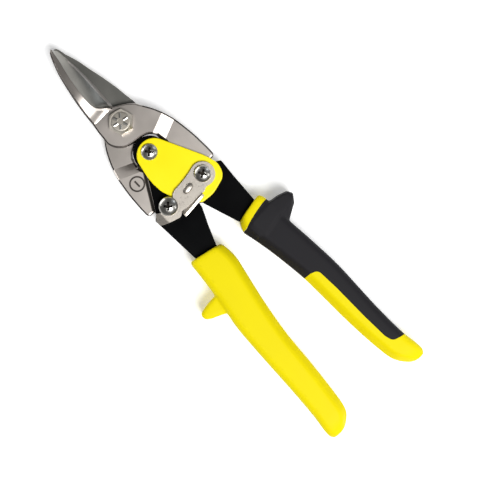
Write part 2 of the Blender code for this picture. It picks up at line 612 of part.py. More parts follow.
def gripSections(outer, inner, skewFront, ends, inset=0.0):
    out = []
    xs = [-78.7, -80.0, -82, -85, -90, -95, -100, -106, -112, -120, -130, -140, -150, -160, -170, -180,
          -186, -190, -193, -195,
          -196.4]
    for x in xs:
        if not ends[0] <= x <= ends[1]:
            continue
        shrink = 1.0
        if x < -186:
            t = (-186 - x) / 11.0
            shrink = math.sqrt(max(0.0, 1 - (0.88 * t) ** 2))
        if x == max(k for k in xs if k <= ends[1]) and inset == 0:
            shrink = 0.93
        half = GRIP_HALF if x < -84 else GRIP_HALF - 0.2
        half = half if shrink == 1.0 else half * (0.25 + 0.75 * shrink)
        skew = skewFront * max(0.0, 1 - (-80 - x) / 40.0)
        out.append(section(x, lerp(outer, x), lerp(inner, x), half, skew, inset=inset))
    return out


leftGrip = loft("left_grip", gripSections(LEFT_OUT, LEFT_IN, 0.2, (-197, -79)))
stop = prism("finger_stop", rounded([(-115.0, 24, 0), (-110.4, 28.2, 4), (-106.9, 36.5, 5),
                                     (-105.0, 39.04, 2.6),
                                     (-101.2, 39.04, 2.4), (-99.9, 33.0, 6), (-99.0, 24, 0)]), -7.2, 7.2)
ease(stop, 1.4, 3, 40)
combine(leftGrip, [stop], "UNION")


def socket(name, outline, upper):
    """Pocket that takes the frame, a clearance bigger all round."""
    shape = outline if upper > 0 else mirrored(outline)
    return prism(name, shape, -TAIL_HALF - GAP, TAIL_HALF + GAP, hidden=True)


combine(leftGrip,
        [socket("left_socket", [(-150 - GAP, 23.6 + GAP), (-79, 20.9 + GAP), (-60, 22.2 + GAP),
                                (-60, 0), (-70, 4 - GAP),
                                          (-80, 8 - 2 * GAP), (-100, 11.5 - 2 * GAP),
                                          (-150 - GAP, 18.4 - GAP)], 1)], "DIFFERENCE")
finish(leftGrip, "yellow_plastic", 40)

# black handle's grip: yellow core with collar, inner strip and end cap; black overmould with thumb stop
yellowZone = [(-181.5, -60), (-181.5, -31), (-179.3, -24.6), (-175, -23), (-160, -22.3), (-140, -22),
              (-128, -21.2), (-125.6, -19.2),
              (-125, -17), (-125, -5), (-210, -5), (-210, -60)]
collarZone = [(-85.2, 0), (-60, 0), (-60, -60), (-79.6, -60), (-81.2, -24.5), (-82.3, -19), (-85.2, -9)]
whole = gripSections(RIGHT_OUT, RIGHT_IN, -0.2, (-197, -78.5))


def grown(zone, by):
    """Outline moved outwards by a distance."""
    n = len(zone)
    area = sum(zone[i][0] * zone[(i + 1) % n][1] - zone[(i + 1) % n][0] * zone[i][1] for i in range(n))
    sign = 1 if area > 0 else -1
    out = []
    for i in range(n):
        p, a, b = Vector(zone[i]), Vector(zone[i - 1]), Vector(zone[(i + 1) % n])
        n1 = Vector(((p - a).y, -(p - a).x)).normalized() * sign
        n2 = Vector(((b - p).y, -(b - p).x)).normalized() * sign
        m = (n1 + n2)
        m = m / max(0.3, m.length_squared) * 2 if m.length > 1e-6 else n1
        out.append((p.x + m.x * by, p.y + m.y * by))
    return out


core = loft("right_grip_core", whole)
zoneA = prism("zone_strip", yellowZone, -30, 30, hidden=True)
zoneB = prism("zone_collar", collarZone, -30, 30, hidden=True)
inner = loft("core_inner", gripSections(RIGHT_OUT, RIGHT_IN, -0.2, (-191, -79.5), inset=2.8))
strip = loft("core_strip", whole)
combine(strip, [zoneA], "INTERSECT")
combine(core, [zoneB], "INTERSECT")
combine(core, [inner, strip], "UNION")
over = loft("right_grip_overmould", whole)
combine(over, [prism("zone_strip_clear", grown(yellowZone, 0.2), -30, 30, hidden=True),
               prism("zone_collar_clear", grown(collarZone, 0.2), -30, 30, hidden=True)], "DIFFERENCE")
up = [(-94.5, -15, GRIP_HALF - 0.6), (-85.0, -14, GRIP_HALF - 0.1), (-83.6, -27, GRIP_HALF - 0.3),
      (-84.8, -34.5, GRIP_HALF - 1.2),
      (-86.2, -38.0, GRIP_HALF - 2.2), (-88.4, -39.3, GRIP_HALF - 3.0), (-89.8, -38.2, GRIP_HALF - 2.4),
      (-91.2, -27, GRIP_HALF - 0.4)]
mid = [(-99, -24, 0), (-82.4, -24, 0), (-83.6, -33, 0), (-85.2, -38.0, 0), (-88.4, -40.0, 0),
       (-92.6, -36.8, 0), (-97.2, -29, 0)]
wing = hull("thumb_stop", up + [(x, y, -z) for x, y, z in up] + [(x, y, z) for x, y,
        _ in mid for z in (-4.5, 4.5)])
combine(over, [wing], "UNION")
combine(over, [loft("core_clear", gripSections(RIGHT_OUT, RIGHT_IN, -0.2, (-191.5, -79), inset=2.6),
                    hidden=True)], "DIFFERENCE")
rightSocket = [(-150 - GAP, 23.6 + GAP), (-79, 22.6 + GAP), (-60, 23.6 + GAP), (-60, 1),
               (-70, 5.5 - GAP), (-80, 9 - 2 * GAP),
               (-100, 14.6 - 2 * GAP), (-150 - GAP, 18.4 - GAP)]
rightPocket = socket("right_socket", rightSocket, -1)
combine(core, [rightPocket], "DIFFERENCE")
combine(over, [rightPocket], "DIFFERENCE")
finish(core, "yellow_plastic", 40)
finish(over, "black_rubber", 28)

# ---- bodies: an empty on each joint's axis carries that body's pieces ----
BODIES = {
    "right_handle": (P3, ["right_frame", "cover_plate", "rear_link_plate", "right_grip_core",
                          "right_grip_overmould",
                          "handle_screw", "handle_sleeve", "handle_nut", "front_tail_screw",
                          "front_tail_sleeve",
                          "front_tail_nut", "latch_bush", "latch_washer", "return_spring"]),
    "left_handle": (P3, ["left_frame", "left_grip", "back_tail_screw", "back_tail_sleeve", "back_tail_nut",
                         "latch_spacer", "return_spring_leg"]),
    "front_blade_body": (P1, ["front_blade", "main_bolt", "main_nut", "main_washer"]),
    "back_blade_body": (P2, ["back_blade"]),
    "latch_body": (P1, ["latch"]),
}
CARRIER = {"left_handle": "right_handle", "front_blade_body": "right_handle",
           "back_blade_body": "left_handle",
           "latch_body": "right_handle"}
AXIS = {"main_bolt": P0, "main_nut": P0, "main_washer": P0, "handle_screw": P3, "handle_sleeve": P3,
        "handle_nut": P3,
        "front_tail_screw": P1, "front_tail_sleeve": P1, "front_tail_nut": P1, "latch_bush": P1,
        "latch_washer": P1,
        "back_tail_screw": P2, "back_tail_sleeve": P2, "back_tail_nut": P2, "latch_spacer": P2}

lows = [min(v.co[k] for ob in parts.objects for v in ob.data.vertices) for k in range(3)]
highs = [max(v.co[k] for ob in parts.objects for v in ob.data.vertices) for k in range(3)]
root = bpy.data.objects.new("aviation_snips_root", None)
parts.objects.link(root)
empties = {}
for body, (pivot, names) in BODIES.items():
    empty = bpy.data.objects.new(body + "_pivot", None)
    empty.empty_display_size = 0.01
    parts.objects.link(empty)
    carrier = CARRIER.get(body)
    empty.parent = empties[carrier] if carrier else root
    base = BODIES[carrier][0] if carrier else (0.0, 0.0)
    empty.location = ((pivot[0] - base[0]) * MM, (pivot[1] - base[1]) * MM, 0)
    empties[body] = empty
    for name in names:
        ob = bpy.data.objects[name]
        spot = AXIS.get(name, pivot)
        ob.data.transform(Matrix.Translation((-spot[0] * MM, -spot[1] * MM, 0)))
        ob.parent = empty
        ob.location = ((spot[0] - pivot[0]) * MM, (spot[1] - pivot[1]) * MM, 0)

# the middle of the underside becomes the origin
root.location = (-(lows[0] + highs[0]) / 2, -(lows[1] + highs[1]) / 2, -lows[2])
print("root at", [round(c, 6) for c in root.location], "size",
      [round(h - l, 5) for h, l in zip(highs, lows)])
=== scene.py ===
import bpy, bmesh, math, json
from mathutils import Vector, Matrix


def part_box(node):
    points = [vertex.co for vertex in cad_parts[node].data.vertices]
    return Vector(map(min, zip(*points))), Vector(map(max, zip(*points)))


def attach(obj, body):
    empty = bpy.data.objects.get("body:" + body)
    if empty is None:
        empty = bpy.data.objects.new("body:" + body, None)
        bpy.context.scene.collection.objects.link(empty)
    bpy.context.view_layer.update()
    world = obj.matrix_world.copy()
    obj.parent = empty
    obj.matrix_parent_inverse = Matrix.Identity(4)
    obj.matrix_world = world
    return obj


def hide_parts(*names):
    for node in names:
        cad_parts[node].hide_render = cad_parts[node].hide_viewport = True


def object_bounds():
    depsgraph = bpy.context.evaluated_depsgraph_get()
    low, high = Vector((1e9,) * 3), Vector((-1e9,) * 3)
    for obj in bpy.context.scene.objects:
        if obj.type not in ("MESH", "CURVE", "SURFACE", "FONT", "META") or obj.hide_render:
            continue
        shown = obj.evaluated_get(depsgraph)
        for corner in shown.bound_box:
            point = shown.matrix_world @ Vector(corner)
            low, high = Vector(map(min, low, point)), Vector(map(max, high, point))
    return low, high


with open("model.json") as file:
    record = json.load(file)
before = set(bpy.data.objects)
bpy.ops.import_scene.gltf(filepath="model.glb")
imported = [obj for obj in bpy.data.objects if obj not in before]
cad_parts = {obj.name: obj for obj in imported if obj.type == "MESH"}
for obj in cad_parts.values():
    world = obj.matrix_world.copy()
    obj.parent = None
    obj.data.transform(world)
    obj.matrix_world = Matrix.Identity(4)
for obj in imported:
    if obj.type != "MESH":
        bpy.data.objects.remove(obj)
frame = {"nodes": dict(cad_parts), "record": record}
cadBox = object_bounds()

# drawing frame in mm: origin on the main pivot, +X to the tips, +Y to the yellow handle
mm = 0.001
shearHeight = 0.010                                # the shear plane's height over the floor
washerLow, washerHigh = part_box("main_washer")
shift = Vector(((washerLow[0] + washerHigh[0]) / 2, (washerLow[1] + washerHigh[1]) / 2, shearHeight))
pivotMain, pivotHandle = (0.0, 0.0), (-21.4, 0.0)
pivotFront, pivotBack = (-48.9, -12.3), (-48.9, 12.3)    # the two blades' tail pivots
padTop, tail, tongue, shearGap = 5.6, 4.0, 2.1, 0.15     # heights from the shear plane, both ways
print("main pivot at", [round(c, 5) for c in shift])


def at(x, y, z=0.0):
    return Vector((x * mm, y * mm, z * mm)) + shift


# sRGB hex to the linear colour a shader wants
def linear(h):
    c = [int(h[i:i + 2], 16) / 255 for i in (1, 3, 5)]
    return tuple(v / 12.92 if v <= 0.04045 else ((v + 0.055) / 1.055) ** 2.4 for v in c) + (1.0,)


# noise scale for features of so many mm, to the nearest whole number
def perMetre(size):
    return round(1 / (size * mm))


def node(tree, kind, where, links={}, **settings):
    n = tree.nodes.new(kind)
    n.location = where
    for key, value in settings.items():
        if hasattr(n, key):
            setattr(n, key, value)
        else:
            n.inputs[key.replace("_", " ")].default_value = value
    for socket, source in links.items():
        tree.links.new(source, n.inputs[socket])
    return n


def newMaterial(name):
    m = bpy.data.materials.new(name)
    m.use_nodes = True
    return m, m.node_tree, m.node_tree.nodes["Principled BSDF"]


# roughness that drifts with the clouds, and the grain as relief
def finishShader(t, shader, cloud, fine, low, high, bump):
    spread = node(t, "ShaderNodeMapRange", (-420, -150), {"Value": cloud.outputs["Fac"]}, To_Min=low,
                  To_Max=high)
    relief = node(t, "ShaderNodeBump", (-200, -300), {"Height": fine.outputs["Fac"]}, Strength=bump,
                  Distance=0.04 * mm)
    t.links.new(spread.outputs["Result"], shader.inputs["Roughness"])
    t.links.new(relief.outputs["Normal"], shader.inputs["Normal"])


def metal(name, dark, light, rough, grain, bump, speckle=0.0, stretch=(1, 1, 1), turn=0.0):
    m, t, shader = newMaterial(name)
    place = node(t, "ShaderNodeTexCoord", (-1200, 0)).outputs["Object"]
    rotated = node(t, "ShaderNodeMapping", (-1000, 0), {"Vector": place}, Scale=stretch,
                   Rotation=(0, 0, turn))
    cloud = node(t, "ShaderNodeTexNoise", (-800, 200), {"Vector": place}, Scale=perMetre(14.286),
                 Detail=2.0)
    fine = node(t, "ShaderNodeTexNoise", (-800, -100), {"Vector": rotated.outputs["Vector"]},
                Scale=perMetre(grain), Detail=3.0, Roughness=0.65)
    both = node(t, "ShaderNodeMath", (-600, 80), {0: fine.outputs["Fac"], 2: cloud.outputs["Fac"]},
                operation="MULTIPLY_ADD")
    both.inputs[1].default_value = 0.3 + speckle
    ramp = node(t, "ShaderNodeValToRGB", (-420, 120), {"Fac": both.outputs[0]})
    for stop, position, colour in zip(ramp.color_ramp.elements, (0.45, 0.85), (dark, light)):
        stop.position = position
        stop.color = linear(colour)
    t.links.new(ramp.outputs["Color"], shader.inputs["Base Color"])
    shader.inputs["Metallic"].default_value = 1.0
    finishShader(t, shader, cloud, fine, max(0.05, rough - 0.02), rough + 0.02, bump)
    return m


def coated(name, colour, shade, rough, grain, bump, specular):
    m, t, shader = newMaterial(name)
    place = node(t, "ShaderNodeTexCoord", (-1200, 0)).outputs["Object"]
    cloud = node(t, "ShaderNodeTexNoise", (-800, 200), {"Vector": place}, Scale=perMetre(16.667),
                 Detail=3.0)
    fine = node(t, "ShaderNodeTexNoise", (-800, -100), {"Vector": place},
                Scale=perMetre(grain), Detail=3.0, Roughness=0.6)
    mix = node(t, "ShaderNodeMix", (-400, 150), data_type="RGBA")
    mix.inputs[6].default_value = linear(shade)
    mix.inputs[7].default_value = linear(colour)
    t.links.new(cloud.outputs["Fac"], mix.inputs[0])
    t.links.new(mix.outputs[2], shader.inputs["Base Color"])
    shader.inputs["Specular IOR Level"].default_value = specular
    finishShader(t, shader, cloud, fine, rough - 0.04, rough + 0.06, bump)
    return m


# colours, roughness, grain in mm, depth of the grain
looks = {
    # even warm grey sheen without mirror spots
    "blade_steel": metal("satin_blade_steel", "#beb7b0", "#d0c8c1", 0.4, 0.3125, 0.2),
    # brighter, with tight highlights on domes and marks
    "bright_steel": metal("zinc_plated_steel", "#b4b2ac", "#d6d4ce", 0.3, 0.7143, 0.15),
    # fine dark speckle left by tumbling
    "latch_steel": metal("tumbled_latch_steel", "#7a736b", "#c6bfb5", 0.4, 0.7692, 0.9, speckle=0.7),
    # dark wire that catches a thin line of light
    "spring_steel": metal("oiled_spring_steel", "#4c4b4c", "#77767a", 0.33, 0.5, 0.2),
    # deep black with faint, sharp reflections
    "black_paint": coated("gloss_black_enamel", "#050607", "#030304", 0.22, 1.4286, 0.1, 0.12),
    # saturated yellow, smooth and hard
    "yellow_paint": coated("gloss_yellow_enamel", "#fff00c", "#fbe808", 0.3, 1.4286, 0.1, 0.4),
    # same yellow, softer and slightly waxy
    "yellow_plastic": coated("moulded_yellow_vinyl", "#ebda0a", "#e4d208", 0.5, 0.3846, 0.25, 0.07),
    # charcoal that scatters light, so edges stay quiet
    "black_rubber": coated("soft_black_grip", "#232225", "#1c1b1e", 0.65, 0.3846, 0.8, 0.15),
}
# darker than the blade, with lines across the edge
ground = metal("ground_jaw_steel", "#96958f", "#a8a6a0", 0.35, 1.4286, 0.15, stretch=(6, 0.35, 1), turn=0.3)
# the same lines, darker still: painted shade on the steep concave grind
hollowShade = metal("concave_grind_painted_shade", "#82807b", "#95938d", 0.36, 1.4286, 0.2, stretch=(6, 0.35, 1),
               turn=0.3)
# matt brownish dark line round the forgings: painted dark reflection and shade on edges, sides and the stamp
paintedEdgeShade = metal("painted_dark_edge", "#3f3b38", "#5c5652", 0.5, 0.6667, 0.5)
# matt pale grey, no speckle
bolted = metal("blasted_bolt_steel", "#aaa499", "#c8c2b7", 0.42, 0.7143, 0.25)
# grey line along the frames' inner edge
paleInnerEdge = metal("pale_inner_edge", "#8f8d88", "#a5a39e", 0.4, 0.6667, 0.2)
# dark pits in the screw heads: painted shade in the cross-shaped pits
recessShade = metal("screw_recess_painted_shade", "#1d1b19", "#37332e", 0.5, 0.6667, 0.3)
slotOf = {s["node"]: s["material_slot"] for s in frame["record"]["subparts"]}
for name, ob in frame["nodes"].items():
    ob.data.materials.clear()
    ob.data.materials.append(looks[slotOf[name]])
print("materials done", len(bpy.data.materials))


def newObject(name, mesh):
    ob = bpy.data.objects.new(name, mesh)
    bpy.context.scene.collection.objects.link(ob)
    return ob


# runs edit(bm) on a mesh
def editMesh(mesh, edit):
    bm = bmesh.new()
    bm.from_mesh(mesh)
    edit(bm)
    bm.to_mesh(mesh)
    bm.free()


# object from vertices in drawing millimetres
def meshFrom(name, verts, faces):
    def weld(bm):
        bmesh.ops.remove_doubles(bm, verts=bm.verts, dist=0.001 * mm)
        bmesh.ops.recalc_face_normals(bm, faces=bm.faces)

    mesh = bpy.data.meshes.new(name)
    mesh.from_pydata([tuple(at(*v)) for v in verts], [], faces)
    editMesh(mesh, weld)
    return newObject(name, mesh)


# all edges cut where a plane passes
def cutPlane(ob, place, normal):
    editMesh(ob.data, lambda bm: bmesh.ops.bisect_plane(bm, geom=bm.verts[:] + bm.edges[:] + bm.faces[:],
                                                        dist=1e-7, plane_co=place, plane_no=normal))


def prism(name, outline, z0, z1):
    n = len(outline)
    verts = [(x, y, z0) for x, y in outline] + [(x, y, z1) for x, y in outline]
    faces = [list(range(n))[::-1], [i + n for i in range(n)]]
    return meshFrom(name, verts, faces + [[i, (i + 1) % n, (i + 1) % n + n, i + n] for i in range(n)])


def loft(name, sections):
    n, last = len(sections[0]), len(sections) - 1
    faces = [list(range(n))[::-1], [last * n + i for i in range(n)]]
    for a in range(0, last * n, n):
        faces += [[a + i, a + (i + 1) % n, a + n + (i + 1) % n, a + n + i] for i in range(n)]
    return meshFrom(name, [p for section in sections for p in section], faces)


# ring of a closed (r, z) profile about the vertical through centre
def turned(name, profile, centre, k=48):
    n = len(profile)
    verts, faces = [], []
    for i in range(k):
        t = 2 * math.pi * i / k
        verts += [(centre[0] + r * math.cos(t), centre[1] + r * math.sin(t), z) for r, z in profile]
        for j in range(n):
            faces.append([i * n + j, (i + 1) % k * n + j, (i + 1) % k * n + (j + 1) % n,
                          i * n + (j + 1) % n])
    return meshFrom(name, verts, faces)


def arc(centre, r, a0, a1, k):
    steps = [math.radians(a0 + (a1 - a0) * i / k) for i in range(k + 1)]
    return [(centre[0] + r * math.cos(a), centre[1] + r * math.sin(a)) for a in steps]


# open Catmull-Rom line through the points
def smoothPath(points, k=6):
    out = []
    p = [points[0]] + list(points) + [points[-1]]
    for i in range(1, len(p) - 2):
        for j in range(k):
            t = j / k
            out.append(tuple(0.5 * (2 * p[i][c] + (p[i + 1][c] - p[i - 1][c]) * t
                                    + (2 * p[i - 1][c] - 5 * p[i][c] + 4 * p[i + 1][c] - p[i + 2][c]) * t * t
                                    + (3 * p[i][c] - p[i - 1][c] - 3 * p[i + 1][c] + p[i + 2][c]) * t ** 3)
                             for c in range(len(p[i]))))
    return out + [tuple(points[-1])]


# smooth value of a sorted (x, y) table
def along(table, x):
    if x <= table[0][0]:
        return table[0][1]
    for i in range(len(table) - 1):
        (x0, y0), (x1, y1) = table[i], table[i + 1]
        if x <= x1:
            before = table[max(i - 1, 0)]
            after = table[min(i + 2, len(table) - 1)]
            m0 = (y1 - before[1]) / (x1 - before[0]) if i else (y1 - y0) / (x1 - x0)
            m1 = (after[1] - y0) / (after[0] - x0) if i + 2 < len(table) else (y1 - y0) / (x1 - x0)
            h = x1 - x0
            t = (x - x0) / h
            return (y0 * (1 + 2 * t) * (1 - t) ** 2 + h * m0 * t * (1 - t) ** 2
                    + y1 * t * t * (3 - 2 * t) + h * m1 * t * t * (t - 1))
    return table[-1][1]


def apply(ob):
    deps = bpy.context.evaluated_depsgraph_get()
    mesh = bpy.data.meshes.new_from_object(ob.evaluated_get(deps))
    ob.modifiers.clear()
    ob.data = mesh
    return ob


def boolean(ob, other, how):
    mod = ob.modifiers.new(how, "BOOLEAN")
    mod.operation = how
    mod.solver = "EXACT"
    mod.object = other
    apply(ob)
    bpy.data.objects.remove(other, do_unlink=True)
    return ob


def bevel(ob, width, segments=3, angle=30, material=-1, clamp=True):
    mod = ob.modifiers.new("bevel", "BEVEL")
    mod.use_clamp_overlap = clamp
    mod.material = material
    mod.width = width * mm
    mod.segments = segments
    mod.limit_method = "ANGLE"
    mod.angle_limit = math.radians(angle)
    return apply(ob)


def shade(ob, angle=35):
    for p in ob.data.polygons:
        p.use_smooth = True
    ob.data.set_sharp_from_angle(angle=math.radians(angle))
    mod = ob.modifiers.new("weighted", "WEIGHTED_NORMAL")
    mod.keep_sharp = True
    mod.weight = 80
    return ob


# rounds the edges that chosen(a, b) picks; it gets both ends in drawing millimetres
def roundEdges(ob, radius, segments, chosen):
    def edit(bm):
        bmesh.ops.dissolve_limit(bm, angle_limit=0.001, verts=bm.verts, edges=bm.edges)
        folded = [e for e in bm.edges if e.calc_face_angle(0.0) > 0.5]
        picked = [e for e in folded if chosen(*((v.co - shift) / mm for v in e.verts))]
        bmesh.ops.bevel(bm, geom=picked, offset=radius * mm, segments=segments, profile=0.5,
                        affect="EDGES", clamp_overlap=True)

    editMesh(ob.data, edit)


def join(ob, others):
    def edit(bm):
        for other in others:
            bm.from_mesh(other.data)
            bpy.data.objects.remove(other, do_unlink=True)

    editMesh(ob.data, edit)
    return ob


# gives a piece its materials (its slot's look unless others are given), shading and body, and hides the
# plain solid it stands for
def finish(ob, cadNode, body, materials=None, angle=35):
    slot = slotOf[cadNode]
    kept = [p.material_index for p in ob.data.polygons]
    ob.data.materials.clear()
    for m in materials or [looks[slot]]:
        ob.data.materials.append(m)
    ob.data.polygons.foreach_set("material_index", [min(k, len(ob.data.materials) - 1) for k in kept])
    shade(ob, angle)
    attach(ob, body)
    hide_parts(cadNode)


# blades: jaw, pad, joggle, tail lobe and tongue. Each line of the jaw is a table of (x, mm)
jaw = {
    "outer": [(7, 12.3), (10, 11.95), (15, 11.4), (20, 10.75), (25, 10.0), (30, 9.1), (35, 8.1),
              (40, 7.0), (45, 5.4), (50, 3.35),
              (51.5, 2.55), (52.4, 1.95), (52.9, 1.35), (53.15, 0.75)],
    "edge": [(7, -2.0), (12, -2.6), (25, -3.1), (35, -3.0), (45, -2.1), (50, -1.75), (51.5, -1.25),
             (52.4, -0.7), (52.9, -0.15), (53.15, 0.35)],
    "ridge": [(7, -2.0), (10.3, 0.1), (12.5, 2.5), (14.6, 4.5), (17.5, 5.35), (21, 5.4), (25, 5.2),
              (30, 4.5), (35, 3.8),
              (40, 2.8), (45, 1.7), (50, 1.0), (53, 0.5)],
    "top": [(7, 5.3), (8.6, 5.42), (9.3, 5.62), (10.5, 6.02), (12, 6.1), (13.6, 6.15), (15, 6.45),
            (18, 7.15), (22, 8.0), (25, 8.3),
            (30, 8.2), (36, 7.85), (42, 7.3), (47, 6.8), (50, 6.3), (53, 5.4)],
}


blade = {
    "stations": [7.2 + 44.4 * i / 60 for i in range(61)] + [51.9, 52.2, 52.5, 52.75, 52.95, 53.08, 53.14],
    "land": 0.5,                # upright strip at the cutting edge
    "lip": 0.35,                # how far the grind throws metal up near the step
    "padEdge": [(5, 12.4), (0, 12.75), (-4, 12.85), (-8.0, 10.6), (-10.9, 6.8), (-11.9, 1.5), (-12.5, -2.8),
                (-14.0, -6.5), (-17.0, -9.1)],
    "outerEdge": [(-40, -23.95), (-30, -23.4), (-20, -22.0), (-15, -20.8), (-10, -19.0), (-5, -16.6),
                  (0, -13.5), (2.9, -11.7), (6.2, -7.5), (9.2, -2.2)],
    "side": [(60, shearGap), (60, padTop), (-17.2, padTop), (-24.4, tail), (-90, tail), (-90, -tail),
             (-27.5, -tail), (-21.3, shearGap)],         # seen along the joggle
    "joggleRun": (4.0, -9.5),
    "lobeRadius": 7.6,
    "edgeRadius": 0.8,
    "ring": (3.35, 4.25, 0.4),  # stamp: inner and outer radius, depth
    "bar": (2.0, 0.5, 0.3),     # stamp: half length, half width, depth
}


# 0 at the low end of the ramp, 1 at the high end, whichever way it runs
def ramp(x, low, high):
    return min(1.0, max(0.0, (x - low) / (high - low)))


# the lower blade is a little slimmer, so that it doesn't show past the upper one
def outerAt(x, slim):
    return along(jaw["outer"], x) - slim * ramp(x, 8, 33) * ramp(x, 53, 47)


def jawSection(x, slim):
    edge, ridge, top = (along(jaw[k], x) for k in ("edge", "ridge", "top"))
    outer = outerAt(x, slim)
    base = shearGap + (0.04 if x < 8.0 else -0.01)
    foot = shearGap + blade["land"]
    pts = [(edge, base), (edge + 0.05, foot)]
    lip = min(0.5, 0.08 * (ridge - edge))
    for i in range(1, 10):                             # concave grind up to the ridge
        t = i / 10
        pts.append((edge + t * (ridge - lip - edge), foot + t ** 1.35 * (top - 0.75 - foot)))
    raised = blade["lip"] * ramp(x, 19, 14)
    lip2 = min(1.5, 0.35 * (outer - ridge))
    pts += [(ridge - lip, top + raised - 0.6), (ridge - 0.1, top + raised - 0.08),
            (ridge + 0.15, top + raised),
            (ridge + lip2, top)]
    wide = outer - ridge - lip2
    soft = min(1.0, max(0.2, (53.4 - x) / 8))          # corner radius dies out at the point
    fall = 0.04 * wide                                 # rim leans outwards
    for t in (0.2, 0.45, 0.7):
        pts.append((ridge + lip2 + t * (wide - 1.15 * soft), top - fall * t * t))
    rim = top - fall
    corner = ((1.15, 0.0), (0.75, 0.28), (0.3, 0.8), (0.05, 1.5))
    pts += [(outer - inward * soft, rim - down * soft) for inward, down in corner]
    pts += [(outer, 0.5 * rim), (outer, base)]
    lean = -0.165 * ramp(x, 16, 11)                    # the step crosses the blade at a slant
    return [(x + lean * max(0.0, y - 0.5), y, max(z, base)) for y, z in pts]


# ground where a wheel has been, painted shade on the concave grind, painted dark edges on sides, bevels, jaw
# rim and stamp, satin elsewhere
def bladeLook(p, slim, stamp):
    c = (p.center - shift) / mm
    near = min(c.x, 52.9)                              # tables are read short of their last point
    overEdge = c.y - along(jaw["edge"], near)
    onGrind = c.x > 10.4 and c.y < along(jaw["ridge"],
                                         near) - 0.12 and p.normal.z > 0.05 and c.z > shearGap + 0.1
    inStamp = stamp and math.hypot(c.x - stamp[0], c.y - stamp[1]) < 4.4 and -tail + 0.05 < c.z < -tail + 1
    onSide = abs(p.normal.z) < 0.3 and not (c.x > 10 and c.y < 0)
    onJoggle = abs(p.normal.y) < 0.25 and abs(p.normal.z) > 0.25 and c.x < -14
    # painted shade on the concave grind, with a painted lighter strip of satin left beside the edge
    if onGrind and overEdge > 1.3 * ramp(c.x, 48, 38):  # bright strip beside the edge runs out at the point
        return 3
    if c.x > 0 and p.normal.z < -0.9 and c.z < 0.4:
        return 1
    # painted dark edge: the stamp's pits, the sides and the jaw's outer rim
    if inStamp or onSide or (5 < c.x < 52 and c.y > outerAt(c.x, slim) - 0.8 and c.z > 1):
        return 2
    if (c.x > -1 and c.y < 0) or onJoggle:
        return 0
    if stamp and math.hypot(c.x - pivotHandle[0], c.y) < 11.6 and c.x > -19.5:
        return 0
    return p.material_index


def bladePiece(name, slim, stamp=None):
    outline = [(9.2, -1.6), (9.8, 3), (9.4, 11.7)] + smoothPath(blade["padEdge"], 4)
    outline += arc(pivotHandle, 10.4, 262, 240, 5) + [(-34, -9.8), (-42, -5.6)]
    outline += arc(pivotFront, blade["lobeRadius"], 60, 250, 20)
    outline += [(-45.5, -19.95), (-45.3, -23.0), (-44.4, -23.95)] + smoothPath(blade["outerEdge"], 4)
    body = prism(name, outline, -12, 12)
    run = Vector(blade["joggleRun"]).normalized()
    across = Vector((-run.y, run.x))
    profile = loft(name + "_side", [[(across.x * u + run.x * k, across.y * u + run.y * k, z)
                                     for u, z in blade["side"]] for k in (-80, 80)])
    boolean(body, profile, "INTERSECT")
    # the tail is thinned to a tongue where it goes inside the channel
    area = [(-17.2, -9.4)] + arc(pivotHandle, 10.6, 262, 240, 4)
    area += [(-30, -11.1), (-45.53, -19.93), (-45.7, -30), (-75, -30), (-75, 10), (-17.2, 10)]
    boolean(body, prism("above", area, tongue, 20), "DIFFERENCE")
    boolean(body, prism("below", area, -20, -tongue), "DIFFERENCE")

    def clean(bm):
        bmesh.ops.remove_doubles(bm, verts=bm.verts, dist=0.12 * mm)
        bmesh.ops.dissolve_limit(bm, angle_limit=0.002, verts=bm.verts, edges=bm.edges)

    editMesh(body.data, clean)
    for m in bladeLooks:
        body.data.materials.append(m)
    for p in body.data.polygons:
        # sides, and the bevels made next, get the painted dark edge colour
        p.material_index = 2 if abs(p.normal.z) < 0.3 else 0
    bevel(body, blade["edgeRadius"], 2, 40, material=2, clamp=False)
    cutPlane(body, at(0, 0), (1, 0, 0))
    if stamp:
        x, y = stamp
        inner, wide, deep = blade["ring"]
        ring = [(inner, -9), (inner, deep - tail), (wide, deep - tail), (wide, -9)]
        boolean(body, turned("ring", ring, stamp, 56), "DIFFERENCE")
        u, v, deep = blade["bar"]
        bar = [(x - u, y - v), (x + u, y - v), (x + u, y + v), (x - u, y + v)]
        boolean(body, prism("bar", bar, -9, deep - tail), "DIFFERENCE")
    ob = join(body, [loft(name + "_jaw", [jawSection(x, slim) for x in blade["stations"]])])
    for p in ob.data.polygons:
        p.material_index = bladeLook(p, slim, stamp)
    return ob


bladeLooks = [looks["blade_steel"], ground, paintedEdgeShade, hollowShade]
front = bladePiece("front_blade_forging", 0.0)
back = bladePiece("back_blade_forging", 1.4, (-28.85, -16.2))
for v in back.data.vertices:                       # the same forging turned over
    d = v.co - shift
    v.co = shift + Vector((d.x, -d.y, -d.z))
for ob, name in ((front, "front_blade"), (back, "back_blade")):
    finish(ob, name, name, bladeLooks, 11)
print("blades done", len(front.data.polygons), len(back.data.polygons))


# handle frames: pressed channels with a bent outer side. Outlines are (x, y, corner radius)
def mirrored(points):
    return [(x, -y) for x, y in reversed(points)]


